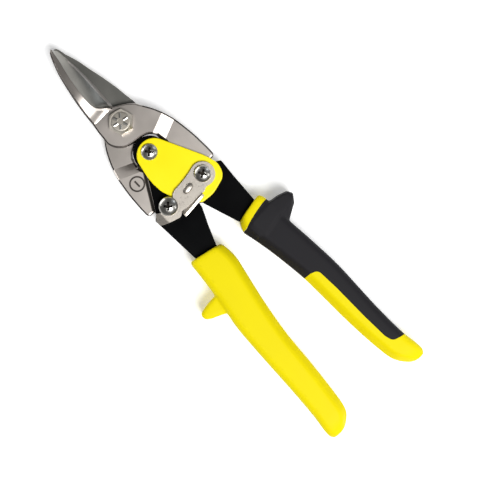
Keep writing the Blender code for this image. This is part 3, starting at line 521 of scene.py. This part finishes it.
# closed outline from (x, y, radius) corners
def rounded(corners, step=12):
    out = []
    n = len(corners)
    for i, c in enumerate(corners):
        p, r = Vector(c[:2]), (c[2] if len(c) > 2 else 0.0)
        a, b = Vector(corners[i - 1][:2]) - p, Vector(corners[(i + 1) % n][:2]) - p
        if r <= 0:
            out.append((p.x, p.y))
            continue
        half = a.angle(b) / 2
        reach = min(r / math.tan(half), 0.49 * a.length, 0.49 * b.length)
        r = reach * math.tan(half)
        centre = p + (a.normalized() + b.normalized()).normalized() * (r / math.sin(half))
        s0 = p + a.normalized() * reach - centre
        s1 = p + b.normalized() * reach - centre
        a0 = math.atan2(s0.y, s0.x)
        sweep = (math.atan2(s1.y, s1.x) - a0 + math.pi) % (2 * math.pi) - math.pi
        k = max(1, round(abs(math.degrees(sweep)) / step))
        out += [(centre.x + r * math.cos(a0 + sweep * j / k),
                 centre.y + r * math.sin(a0 + sweep * j / k)) for j in range(k + 1)]
    return out


sheet, bendRadius = 1.6, 1.9
frames = {
    "left_frame": {
        "name": "left_handle_channel", "body": "left_handle", "side": 1,
        "wall": [(-150, 23.6), (-79, 20.9), (-55, 22.3), (-47, 22.9)],
        "outline": [(-150, 23.6, 1.5), (-79, 20.9, 0), (-55, 22.3, 0), (-49.6, 22.7, 1.2),
                    (-47.4, 19.9, 1.0),
                    (-30.5, 9.9, 3)] + [(x, y, 0) for x, y in arc(pivotHandle, 8.9, 118, -112, 40)]
                   + [(-41, -3.7, 4), (-61, -0.1, 2), (-70, 4, 0), (-80, 8, 3), (-100, 11.5, 0),
                      (-150, 18.4, 1.5)],
    },
    "right_frame": {                                   # drawn above the middle line, then mirrored
        "name": "right_handle_channel", "body": "right_handle", "side": -1,
        "wall": [(-150, 23.6), (-79, 22.6), (-60, 23.5), (-47, 24.6)],
        "outline": [(-150, 23.6, 1.5), (-79, 22.6, 0), (-60, 23.5, 0), (-50.0, 24.3, 1.2),
                    (-47.6, 20.2, 1.0),
                    (-38.5, 14.9, 2), (-37.2, 9.6, 2.5), (-42, 5.6, 3), (-60, 2.1, 0), (-70, 5.5, 0),
                    (-80, 9, 3),
                    (-100, 14.6, 0), (-150, 18.4, 1.5)],
    },
}
for cadNode, part in frames.items():
    flip = mirrored if part["side"] < 0 else list
    wall = part["wall"]
    ob = prism(part["name"], flip(rounded(part["outline"])), -tail, tail)

    def onBend(a, b):                                  # edges along the outer wall, behind the open front
        level = abs(abs(a.z) - tail) < 0.01 and abs(a.z - b.z) < 0.01
        return level and min(a.x,
                             b.x) < -50.5 and all(abs(abs(v.y) - along(wall, v.x)) < 0.25 for v in (a, b))

    roundEdges(ob, bendRadius, 5, onBend)
    inner = [(x, y - sheet) for x, y in wall]
    inside = [(-220, inner[0][1])] + inner + [(20, inner[-1][1]), (20, -60), (-220, -60)]
    boolean(ob, prism("inside", flip(inside), sheet - tail, tail - sheet), "DIFFERENCE")
    bevel(ob, 0.3, 2, 50)
    for p in ob.data.polygons:                         # pale grey on the inner edge's faces that tilt up and inwards
        facing = p.normal.y * part["side"] < -0.25 and p.normal.z > 0.25
        p.material_index = 1 if facing and (p.center.x - shift.x) / mm < -61 else 0
    finish(ob, cadNode, part["body"], [looks["black_paint"], paleInnerEdge], 30)
print("frames done")

# cover plate over the handle pivot, and the same outline below as the rear link plate
cover = {
    "outline": [(x, y, 0) for x, y in arc((-24.3, -0.6), 9.2, 86, -66, 30)]
               + [(-43.0, -20.1, 22), (-50, -22.2, 9), (-57, -20.0, 9), (-60.1, -9.5, 14), (-59.4, -1.5, 3),
                  (-52.5, 2.2, 4), (-46.2, 7.9, 3), (-40, 9.8, 12), (-35, 10.15, 0), (-30, 9.85, 0),
                  (-26.5, 9.2, 0)],
    "sheet": 1.8,
    "plates": {"cover_plate": ("cover", 4.3, 0.6), "rear_link_plate": ("rear_link", -6.1, 0.4)},
}
coverOutline = rounded(cover["outline"], 8)
for cadNode, (name, z0, edgeRadius) in cover["plates"].items():
    ob = prism(name, coverOutline, z0, z0 + cover["sheet"])
    bevel(ob, edgeRadius, 4, 50)
    finish(ob, cadNode, "right_handle", angle=40)

latchPlate = {
    "low": 6.4, "top": 7.9, "edgeRadius": 0.5,
    "eyeRadius": 6.5,
    "headClearance": 2.35,      # from the back tail pivot's arc to the plate
    "front": [(-43.6, -6.8), (-44.3, -3.0), (-44.7, 0.5), (-44.95, 4.0), (-45.7, 6.2), (-47.2, 7.6)],
    "rear": [(-47.6, 20.2, 0.5), (-50.6, 22.6, 1.5), (-53.5, 22.1, 2.0), (-55.4, 18.0, 4), (-57.4, 11.5, 3),
             (-56.1, 9.4, 0.4), (-55.9, -6.5, 0.6), (-55.4, -9.0, 0.6)],
    "bend": (17.2, 18.2, 0.3),  # where the hook end starts to drop, where it drops fully, its slope
    "tab": [(-54.9, 7.15), (-55.6, 7.25), (-56.15, 7.7), (-56.45, 8.4), (-57.2, 10.9)],   # (x, z)
    "tabSpan": (-5.2, 9.4), "tabThick": 1.3, "tabLean": -1.5,
    "bump": (-49.0, -1.5, 2.1, 3.3, 1.1),              # x, y, half width, half length, height
}
low, top = latchPlate["low"], latchPlate["top"]
reach = math.hypot(pivotBack[0] - pivotHandle[0],
                   pivotBack[1] - pivotHandle[1]) + latchPlate["headClearance"]
outline = arc(pivotFront, latchPlate["eyeRadius"], 160, 372, 36) + latchPlate["front"]
outline += arc(pivotHandle, reach, 163.5, 143.2, 12) + rounded(latchPlate["rear"])
latch = prism("latch_plate", outline, low, top)
bendFrom, bendTo, slope = latchPlate["bend"]
for y in (bendFrom, bendTo):
    cutPlane(latch, at(0, y), (0, 1, 0))
for v in latch.data.vertices:                          # hook end set down towards the frame
    y = (v.co.y - shift.y) / mm
    v.co.z -= mm * (slope * max(0.0, y - bendTo) + 0.12 * min(1.0, max(0.0, y - bendFrom)))
bevel(latch, latchPlate["edgeRadius"], 3, 50)
tabLine = smoothPath(latchPlate["tab"], 4)             # thumb tab bent up along the rear edge
start, stop = latchPlate["tabSpan"]
sections = []
for i in range(13):
    y = start + (stop - start) * i / 12
    lean = latchPlate["tabLean"] * i / 12
    drop = 0.35 * max(0, abs(i - 6) - 5)               # rounded ends
    sides = []
    for j, (x, z) in enumerate(tabLine):
        ahead, behind = tabLine[min(j + 1, len(tabLine) - 1)], tabLine[max(j - 1, 0)]
        n = Vector((ahead[1] - behind[1], behind[0] - ahead[0])).normalized() * latchPlate["tabThick"] / 2
        z -= drop * (z - 7.15) / 3.5
        x += lean * (z - 7.0) / 3.8
        sides.append(((x + n.x, y, z + n.y), (x - n.x, y, z - n.y)))
    sections.append([a for a, b in sides] + [b for a, b in reversed(sides)])
tab = loft("tab", sections)
bevel(tab, 0.15, 2, 50)
bumpX, bumpY, halfWide, halfLong, bumpHigh = latchPlate["bump"]
bump = []
for i in range(8):                                     # a dimple pressed up, turned a little
    a = math.pi / 2 * i / 8
    bump.append([(bumpX + math.cos(a) * (halfWide * math.cos(t) - 0.5 * math.sin(t)),
                  bumpY + math.cos(a) * (halfLong * math.sin(t) + 0.25 * math.cos(t)),
                  top - 0.15 + bumpHigh * math.sin(a)) for t in [2 * math.pi * j / 32 for j in range(32)]])
join(latch, [tab, loft("bump", bump)])
finish(latch, "latch", "latch", angle=40)
print("plates done")


panScrew = {"rim": 0.85, "dome": 46, "shank": 2.0, "arms": ((0.4, 2.9, 0.72), (-1.6, 1.6, 0.45))}


# domed cross-recessed head and its shank
def panHead(cadNode, name, centre, z0, radius, turn, body):
    rim, dome, shank = panScrew["rim"], panScrew["dome"], panScrew["shank"]
    high = rim + (radius - 0.12) * math.tan(math.radians(dome / 2))
    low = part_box(cadNode)[0][2] / mm - shift.z / mm
    r = radius
    curve = [(r - 0.12, z0), (r, z0 + 0.12), (r, z0 + 0.62), (r - 0.12, z0 + rim)]
    ball = (r - 0.12) / math.sin(math.radians(dome))
    for i in range(1, 13):
        a = math.radians(dome * (1 - i / 12))
        curve.append((max(0.01, ball * math.sin(a)), z0 + high - ball * (1 - math.cos(a))))
    ob = turned(name, [(0.01, low), (shank - 0.4, low), (shank, low + 0.4), (shank, z0)] + curve,
                centre, 56)
    for k in range(2):
        a = math.radians(turn + 90 * k)
        u, v = Vector((math.cos(a), math.sin(a))), Vector((-math.sin(a), math.cos(a)))
        ring = []
        for z, half, wide in panScrew["arms"]:
            ring.append([(centre[0] + u.x * i * half + v.x * j * wide,
                          centre[1] + u.y * i * half + v.y * j * wide,
                          z0 + high + z) for i, j in ((-1, -1), (1, -1), (1, 1), (-1, 1))])
        boolean(ob, loft("arm", ring), "DIFFERENCE")
    cone = turned("cone", [(r, z0 + high + z) for r, z in ((0.01, -1.9), (0.95, -0.6), (1.25, 0.6),
                                                           (0.01, 0.6))],
                  centre, 24)
    boolean(ob, cone, "DIFFERENCE")
    # painted shade: faces inside the cross-shaped pits take the dark pit colour
    for p in ob.data.polygons:
        d = (p.center - at(*centre, z0)) / mm
        onDome = abs((d - Vector((0, 0, high - ball))).length - ball) < 0.03
        p.material_index = 1 if math.hypot(d.x, d.y) < 2.9 and d.z > 0.4 and not onDome else 0
    bevel(ob, 0.07, 2, 40)
    finish(ob, cadNode, body, [looks[slotOf[cadNode]], recessShade], 30)


screws = {                                             # name, centre, underside, head radius, turn, body
    "handle_screw": ("handle_pan_screw", pivotHandle, 6.4, 4.4, 40, "right_handle"),
    "front_tail_screw": ("front_tail_pan_screw", pivotFront, 9.0, 4.4, 30, "right_handle"),
    "back_tail_screw": ("back_tail_pan_screw", pivotBack, 8.2, 5.0, 47, "left_handle"),
}
for cadNode, sizes in screws.items():
    panHead(cadNode, *sizes)

boltLow, boltHigh = padTop + 0.3, padTop + 4.9
ac = 12.0 / math.cos(math.pi / 6) / 2
hexagon = [(ac * math.cos(math.radians(60 * i + 18)),
            ac * math.sin(math.radians(60 * i + 18))) for i in range(6)]
bolt = prism("bolt_body", hexagon, boltLow, boltHigh)
dome = turned("dome", [(0.01, boltLow - 1), (ac + 2, boltLow - 1), (ac + 2, boltHigh - 3.4),
                       (ac, boltHigh - 2.4), (5.3, boltHigh - 0.35),
                       (4.9, boltHigh - 0.05), (4.4, boltHigh), (0.01, boltHigh)], pivotMain, 72)
boolean(bolt, dome, "INTERSECT")
bevel(bolt, 0.25, 2, 25)
marks = []
for i in range(6):                                 # raised radial strength marks
    a = math.radians(60 * i + 20)
    u, v = Vector((math.cos(a), math.sin(a))), Vector((-math.sin(a), math.cos(a)))
    marks.append(loft("mark", [[(u.x * p + v.x * q * w, u.y * p + v.y * q * w, z) for p,
                                q in ((1.7, -1), (4.2, -1), (4.2, 1), (1.7, 1))]
                               for z, w in ((boltHigh - 0.1, 0.7), (boltHigh + 0.18, 0.65),
                                            (boltHigh + 0.34, 0.3))]))
boltEnd = -9.9
shank = turned("shank", [(0.01, boltEnd), (3.5, boltEnd), (4.0, boltEnd + 0.5), (4.0, boltLow + 0.5),
                         (0.01, boltLow + 0.5)], pivotMain, 56)
for ob in [bolt] + marks:                          # the raised marks are rubbed bright
    ob.data.materials.append(bolted)
    ob.data.materials.append(looks["bright_steel"])
    ob.data.polygons.foreach_set("material_index", [0 if ob is bolt else 1] * len(ob.data.polygons))
join(bolt, marks + [shank])
finish(bolt, "main_bolt", "front_blade", [bolted, looks["bright_steel"]], 30)


# hexagon nut with both faces chamfered
def nutPiece(cadNode, name, centre, flats, bore, turn, body):
    low, high = ((v[2] - shift.z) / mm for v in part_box(cadNode))
    r = flats / math.cos(math.pi / 6) / 2
    ob = prism(name, arc(centre, r, turn, turn + 300, 5), low, high)
    c = 0.5 * flats * 0.96
    drop = 0.28 * (r - c) + 0.2
    chamfer = [(0.01, low), (c, low), (r, low + drop), (r, high - drop), (c, high), (0.01, high)]
    boolean(ob, turned("chamfer", chamfer, centre, 72), "INTERSECT")
    wide = bore + 0.4                                  # countersunk at both ends
    hole = [(0.01, low - 1), (wide, low - 1), (wide, low), (bore, low + 0.4), (bore, high - 0.4),
            (wide, high),
            (wide, high + 1), (0.01, high + 1)]
    boolean(ob, turned("bore", hole, centre, 40), "DIFFERENCE")
    bevel(ob, 0.1, 2, 30)
    finish(ob, cadNode, body, angle=30)


nuts = {                                               # name, centre, across flats, bore radius, turn, body
    "main_nut": ("main_lock_nut", pivotMain, 12, 4.12, 5, "front_blade"),
    "handle_nut": ("handle_lock_nut", pivotHandle, 7, 2.12, 20, "right_handle"),
    "front_tail_nut": ("front_tail_lock_nut", pivotFront, 7, 2.12, -8, "right_handle"),
    "back_tail_nut": ("back_tail_lock_nut", pivotBack, 7, 2.12, 12, "left_handle"),
}
for cadNode, sizes in nuts.items():
    nutPiece(cadNode, *sizes)

rings = {                                          # centre, inner and outer radius, body
    "main_washer": (pivotMain, 4.25, 7.4, "front_blade"),
    "latch_washer": (pivotFront, 2.15, 4.3, "right_handle"),
    "latch_bush": (pivotFront, 2.15, 3.1, "right_handle"),
    "latch_spacer": (pivotBack, 2.15, 4.2, "left_handle"),
}
for cadNode, (centre, inner, outer, body) in rings.items():
    low, high = ((v[2] - shift.z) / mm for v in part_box(cadNode))
    ob = turned(cadNode + "_turned", [(inner, low), (outer, low), (outer, high), (inner, high)], centre, 64)
    bevel(ob, 0.12, 3, 40)
    finish(ob, cadNode, body, angle=40)


def wire(name, points, r, cadNode, body):
    curve = bpy.data.curves.new(name, "CURVE")
    curve.dimensions = "3D"
    curve.bevel_depth = r * mm
    curve.bevel_resolution = 4
    curve.use_fill_caps = True
    spline = curve.splines.new("POLY")
    spline.points.add(len(points) - 1)
    for point, place in zip(spline.points, points):
        point.co = (*at(*place), 1)
    ob = newObject(name, bpy.data.meshes.new_from_object(newObject(name + "_line", curve)))
    bpy.data.objects.remove(bpy.data.objects[name + "_line"], do_unlink=True)
    finish(ob, cadNode, body, angle=60)


coil = []
for i in range(121):                               # 850 degrees, clockwise from 40
    t = math.radians(40 - 850 * i / 120)
    coil.append((pivotHandle[0] + 4.3 * math.cos(t), 4.3 * math.sin(t), -1.55 + 3.1 * i / 120))
wire("return_spring_coil", coil + [(pivotHandle[0] - 6, -4.45, 1.6), (-42.5, -2.4, 0.9)], 0.55,
     "return_spring", "right_handle")
wire("return_spring_arm", [(pivotHandle[0] - 1.4, 4.35, -1.66), (pivotHandle[0] - 6, 4.6, -1.6),
                           (-42.5, 2.4, -0.9)], 0.55, "return_spring_leg",
     "left_handle")
print("fasteners done")


# loop round a grip: flat front and back, rounded outer side, sloped inner side
def gripSection(x, outer, inner, half, skew, n=7):
    sign = 1 if outer > inner else -1
    wide = abs(outer - inner)
    r, c = min(4.0, 0.45 * wide), min(4.2, 0.33 * wide)
    pts = [(outer - sign * r * (1 - math.cos(t)),
            half - r * (1 - math.sin(t))) for t in [math.pi / 2 * i / n for i in range(n + 1)]]
    pts += [(outer - sign * (r + (wide - r - c * 1.15) * k / 6), half) for k in range(1, 6)]
    pts += [(inner + sign * c * 1.15, half), (inner + sign * c * 0.9, half - 0.08 * c),
            (inner + sign * c * 0.6, half - c * 0.32),
            (inner + sign * c * 0.25, half - c * 0.75), (inner + sign * 0.05, half - c * 1.05),
            (inner, half - c * 1.4)]
    pts += [(y, -z) for y, z in reversed(pts)]
    return [(x + skew * (y - (outer + inner) / 2), y, z) for y, z in pts]


def gripBody(name, outer, inner, skewFront, ahead=0.0):
    sections = []
    xs = [-79.6, -80.2, -81.2] + [-82.5 - 2.0 * i for i in range(53)] + [-188.5, -190.5, -192.3,
            -193.8, -195, -195.9, -196.4]
    for x0 in xs:
        x = x0 + ahead * max(0.0, (x0 + 90) / 10)
        t = max(0.0, (-186 - x) / 11.0)
        shrink = math.sqrt(max(0.0, 1 - (0.88 * t) ** 2))
        half = 10.0 * (0.25 + 0.75 * shrink)
        o, i = along(outer, x), along(inner, x)
        pull = {-79.6: 1.1, -80.2: 0.45, -81.2: 0.1}.get(x0, 0.0)
        s = 1 if o > i else -1
        sections.append(gripSection(x, o - s * pull, i + s * pull, half - pull,
                                    skewFront * max(0.0, 1 - (-80 - x) / 40.0)))
    return loft(name, sections)


# moulded look: one skin, corners softened
def melt(ob, voxel, rounds):
    mod = ob.modifiers.new("skin", "REMESH")
    mod.mode = "VOXEL"
    mod.voxel_size = voxel * mm
    apply(ob)
    mod = ob.modifiers.new("soften", "SMOOTH")
    mod.factor = 0.5
    mod.iterations = rounds
    return apply(ob)


leftOuter = [(-197, 32.0), (-194, 34.0), (-180, 32.6), (-160, 31.6), (-140, 31.0), (-120, 30.0),
             (-110, 28.4), (-100, 26.8), (-90, 25.5), (-79, 24.6)]
leftInner = [(-197, 27.5), (-195, 23.0), (-190, 18.3), (-180, 16.5), (-160, 14.6), (-140, 13.3),
             (-120, 10.4), (-100, 6.6), (-90, 4.9), (-79, 5.6)]
grip = gripBody("left_grip_skin", leftOuter, leftInner, 0.2)
peg = prism("peg", rounded([(-115.0, 22, 0), (-110.4, 28.2, 4), (-106.9, 36.5, 5), (-105.0, 39.3, 2.6),
                            (-101.2, 39.3, 2.4),
                            (-99.9, 33.0, 6), (-99.0, 22, 0)], 10), -7.2, 7.2)
bevel(peg, 2.2, 5, 40)
boolean(grip, peg, "UNION")
melt(grip, 0.6, 3)
pocket = [(-150.3, 23.9), (-79, 21.2), (-60, 22.5), (-60, 0), (-70, 3.7), (-80, 7.4), (-100, 10.9),
          (-150.3, 18.1)]
boolean(grip, prism("pocket", pocket, -4.3, 4.3), "DIFFERENCE")
finish(grip, "left_grip", "left_handle", angle=50)

rightOuter = [(-197, -31.0), (-194, -33.0), (-180, -31.2), (-160, -30.6), (-145, -30.9), (-130, -31.0),
              (-110, -29.6), (-100, -28.6), (-82, -27.4), (-79, -26.6)]
rightInner = [(-197, -28.0), (-195, -23.5), (-188, -18.2), (-180, -16.4), (-160, -14.6), (-140, -13.9),
              (-125, -13.3), (-110, -11.5), (-100, -10.0), (-87, -7.4),
              (-84, -6.7), (-79, -8.4)]
whole = gripBody("right_grip_skin", rightOuter, rightInner, -0.2, 1.3)
fin = [(-94.3, -15, 9.3), (-84.8, -14, 9.9), (-83.6, -27, 9.7), (-84.9, -34.5, 8.8),
       (-86.4, -38.0, 7.8), (-88.4, -39.2, 7.0),
       (-89.8, -38.0, 7.6), (-91.4, -27, 9.5)]
finMid = [(-99, -24, 0), (-82.4, -24, 0), (-83.6, -33, 0), (-85.2, -38.0, 0), (-88.4, -39.9, 0),
          (-92.6, -36.8, 0), (-97.2, -29, 0)]
bm = bmesh.new()
fin += [(-92.8, -10.8, 8.7), (-86.0, -10.4, 8.7)]
for x, y, z in [(x, y, z + 1.2) for x, y, z in fin] + [(x, y, -z) for x, y,
                                                       z in fin] + [(x, y, z) for x, y,
                                                               _ in finMid for z in (-4.5, 4.5)]:
    bm.verts.new(at(x, y, z))
bmesh.ops.convex_hull(bm, input=bm.verts)
mesh = bpy.data.meshes.new("fin")
bm.to_mesh(mesh)
bm.free()
boolean(whole, newObject("fin", mesh), "UNION")
melt(whole, 0.6, 3)
pocket = [(-150.3, 23.9), (-79, 22.9), (-60, 23.9), (-60, 1), (-70, 5.2), (-80, 8.4), (-100, 14.0),
          (-150.3, 18.1)]
boolean(whole, prism("pocket", mirrored(pocket), -4.3, 4.3), "DIFFERENCE")
strip = rounded([(-181.6, -60, 0), (-181.6, -31, 0), (-179.6, -24.3, 3.5), (-175, -23, 4),
                 (-160, -22.3, 0), (-140, -22, 0), (-126.5, -21.2, 6), (-125, -17, 2),
                 (-125, -5, 0), (-210, -5, 0), (-210, -60, 0)])
collar = [(-85.4, 0), (-60, 0), (-60, -60), (-79.7, -60), (-81.2, -24.5), (-82.3, -19), (-83.9, -13),
          (-85.4, -9)]


def cutOut(name, shapes, how, grow):
    ob = whole.copy()
    ob.data = whole.data.copy()
    ob.name = name
    bpy.context.scene.collection.objects.link(ob)
    tools = [prism("tool", shape, -30, 30) for shape in shapes]
    tool = join(tools[0], tools[1:])
    if grow:
        mod = tool.modifiers.new("grow", "DISPLACE")
        mod.strength = grow * mm
        mod.mid_level = 0
        apply(tool)
    return boolean(ob, tool, how)


core = cutOut("right_grip_yellow", [strip, collar], "INTERSECT", 0)
over = cutOut("right_grip_black", [strip, collar], "DIFFERENCE", 0.12)
bpy.data.objects.remove(whole, do_unlink=True)
for ob, cadNode in ((core, "right_grip_core"), (over, "right_grip_overmould")):
    finish(ob, cadNode, "right_handle", angle=45)
print("grips done", len(grip.data.polygons), len(over.data.polygons))

right = Vector((-0.688, -0.7255, 0)).normalized()
up = Vector((0.7255, -0.688, 0)).normalized()
low = cadBox[0]
bpy.ops.mesh.primitive_plane_add(size=6, location=(0, 0, low[2] - 0.0002))
floor = bpy.context.object
floor.name = "floor"
m, t, b = newMaterial("pale_floor")
b.inputs["Base Color"].default_value = (0.93, 0.93, 0.93, 1)
b.inputs["Roughness"].default_value = 0.8
b.inputs["Emission Color"].default_value = (1, 1, 1, 1)
b.inputs["Emission Strength"].default_value = 0.34
floor.data.materials.append(m)
aim = at(-60, 0, 0)


# rectangular lamp, tilted by so many degrees from overhead towards a level direction
def softbox(name, direction, tilt, reach, size, power, colour=(1, 1, 1)):
    a = math.radians(tilt)
    spot = aim + (direction.normalized() * math.sin(a) + Vector((0, 0, 1)) * math.cos(a)) * reach
    light = bpy.data.lights.new(name, "AREA")
    light.shape = "RECTANGLE"
    light.size, light.size_y = size
    light.energy = power
    light.color = colour
    ob = newObject(name, light)
    ob.location = spot
    ob.rotation_euler = (aim - spot).to_track_quat("-Z", "Y").to_euler()


softbox("main", Vector((-1, 0.1, 0)), 26, 1.2, (0.5, 0.5), 16)
softbox("low_right", Vector((1, 0.2, 0)), 81, 1.2, (1.1, 0.2), 4.5)
softbox("low_rear", Vector((-0.75, -0.66, 0)), 62, 1.3, (0.3, 0.25), 1.4)
softbox("window", Vector((0.05, -1, 0)), 68, 1.4, (0.5, 0.25), 1.2, (0.85, 0.92, 1))
world = bpy.data.worlds.new("studio")
bpy.context.scene.world = world
world.use_nodes = True
world.node_tree.nodes["Background"].inputs["Color"].default_value = (1, 1, 1, 1)
world.node_tree.nodes["Background"].inputs["Strength"].default_value = 0.08

target = at(-87.2, -2.7, 5)
cam = bpy.data.cameras.new("camera")
cam.lens = 86
cam.sensor_width = 36
camOb = newObject("camera", cam)
distance = 0.251 * cam.lens / cam.sensor_width
toCamera = Vector((0, 0, 1))
facing = Matrix((right, up, toCamera)).transposed().to_4x4()
camOb.matrix_world = Matrix.Translation(target + toCamera * distance) @ facing
bpy.context.scene.camera = camOb
bpy.context.scene.view_settings.view_transform = "Standard"
print("stage done")
